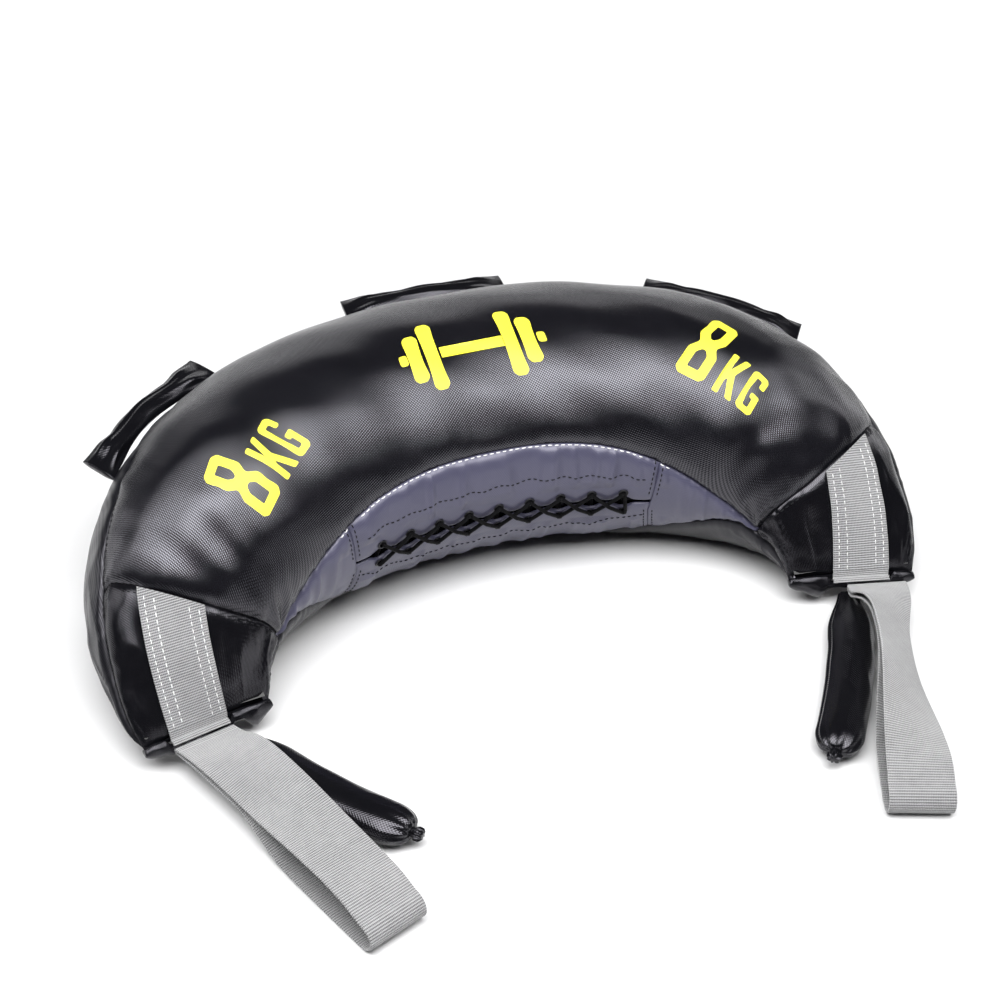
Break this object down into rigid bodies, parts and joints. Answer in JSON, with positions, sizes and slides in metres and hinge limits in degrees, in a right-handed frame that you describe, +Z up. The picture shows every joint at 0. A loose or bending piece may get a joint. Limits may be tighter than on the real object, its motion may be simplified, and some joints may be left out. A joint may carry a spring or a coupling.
{
  "type": "bulgarian bag",
  "caption": "Black crescent-shaped filled training bag with a laced grey inner panel, padded grips, webbing loops and back handles, lying on its flattened base",
  "frame": {"origin": "on the floor, under the middle of the crescent's centre line", "axes": "+Z up, the opening of the crescent towards -Y, +X to the bag's right as seen from the opening"},
  "size_m": [0.5506, 0.4802, 0.1622],
  "materials": {
    "coated_fabric": "woven polyester with a glossy black vinyl coating, embossed square weave",
    "grey_fabric": "grey-violet vinyl coated fabric, satin",
    "webbing": "light grey woven polypropylene webbing with cross ribs, matt",
    "lacing": "black braided cord, matt",
    "eyelet_metal": "dark nickel, slightly glossy",
    "sand_pouch": "plain sand-filled cotton pouch, matt",
    "wadding": "fibre wadding, matt"
  },
  "bodies": {
    "bag": {"bottom_panel": "coated_fabric", "top_panel": "coated_fabric", "left_end_panel": "coated_fabric", "right_end_panel": "coated_fabric", "left_end_roll": "coated_fabric", "right_end_roll": "coated_fabric", "left_inner_panel": "grey_fabric", "right_inner_panel": "grey_fabric", "upper_lacing_flap": "grey_fabric", "lower_lacing_flap": "grey_fabric", "lacing_tongue": "grey_fabric", "left_sewn_strap": "webbing", "right_sewn_strap": "webbing", "lacing_cord": "lacing", "upper_eyelet_1": "eyelet_metal", "upper_eyelet_2": "eyelet_metal", "upper_eyelet_3": "eyelet_metal", "upper_eyelet_4": "eyelet_metal", "upper_eyelet_5": "eyelet_metal", "upper_eyelet_6": "eyelet_metal", "upper_eyelet_7": "eyelet_metal", "upper_eyelet_8": "eyelet_metal", "upper_eyelet_9": "eyelet_metal", "lower_eyelet_1": "eyelet_metal", "lower_eyelet_2": "eyelet_metal", "lower_eyelet_3": "eyelet_metal", "lower_eyelet_4": "eyelet_metal", "lower_eyelet_5": "eyelet_metal", "lower_eyelet_6": "eyelet_metal", "lower_eyelet_7": "eyelet_metal", "lower_eyelet_8": "eyelet_metal", "lower_eyelet_9": "eyelet_metal", "sand_pouch_1": "sand_pouch", "sand_pouch_2": "sand_pouch", "sand_pouch_3": "sand_pouch", "sand_pouch_4": "sand_pouch", "sand_pouch_5": "sand_pouch", "padding_sleeve": "wadding", "left_end_wad": "wadding", "right_end_wad": "wadding"},
    "left_loop": {"left_strap_loop": "webbing"},
    "right_loop": {"right_strap_loop": "webbing"},
    "left_grip": {"left_grip_cover": "coated_fabric", "left_grip_padding": "wadding", "left_grip_tip": "coated_fabric"},
    "right_grip": {"right_grip_cover": "coated_fabric", "right_grip_padding": "wadding", "right_grip_tip": "coated_fabric"},
    "left_handle": {"left_back_handle": "coated_fabric"},
    "middle_handle": {"middle_back_handle": "coated_fabric"},
    "right_handle": {"right_back_handle": "coated_fabric"}
  },
  "joints": [
    {"name": "left_loop_hinge", "type": "hinge", "parent": "bag", "child": "left_loop", "pos_m": [-0.22217, -0.1871, 0.0173], "axis": [-0.9736, -0.2282, 0], "range_deg": [0, 60]},
    {"name": "right_loop_hinge", "type": "hinge", "parent": "bag", "child": "right_loop", "pos_m": [0.23239, -0.18949, 0.0173], "axis": [-0.9736, 0.2282, 0], "range_deg": [0, 60]},
    {"name": "left_grip_hinge", "type": "hinge", "parent": "bag", "child": "left_grip", "pos_m": [-0.20604, -0.17923, 0.0111], "axis": [0, 0, 1], "range_deg": [0, 35]},
    {"name": "right_grip_hinge", "type": "hinge", "parent": "bag", "child": "right_grip", "pos_m": [0.21529, -0.1814, 0.0111], "axis": [0, 0, -1], "range_deg": [0, 35]},
    {"name": "left_handle_hinge", "type": "hinge", "parent": "bag", "child": "left_handle", "pos_m": [-0.23792, -0.03381, 0.1081], "axis": [0.7512, 0.6539, 0.0893], "range_deg": [0, 45]},
    {"name": "middle_handle_hinge", "type": "hinge", "parent": "bag", "child": "middle_handle", "pos_m": [-0.05111, 0.07409, 0.11954], "axis": [0.9998, -0.021, -0.0002], "range_deg": [0, 45]},
    {"name": "right_handle_hinge", "type": "hinge", "parent": "bag", "child": "right_handle", "pos_m": [0.15098, 0.04187, 0.11844], "axis": [0.7512, -0.6539, -0.0893], "range_deg": [0, 45]}
  ]
}
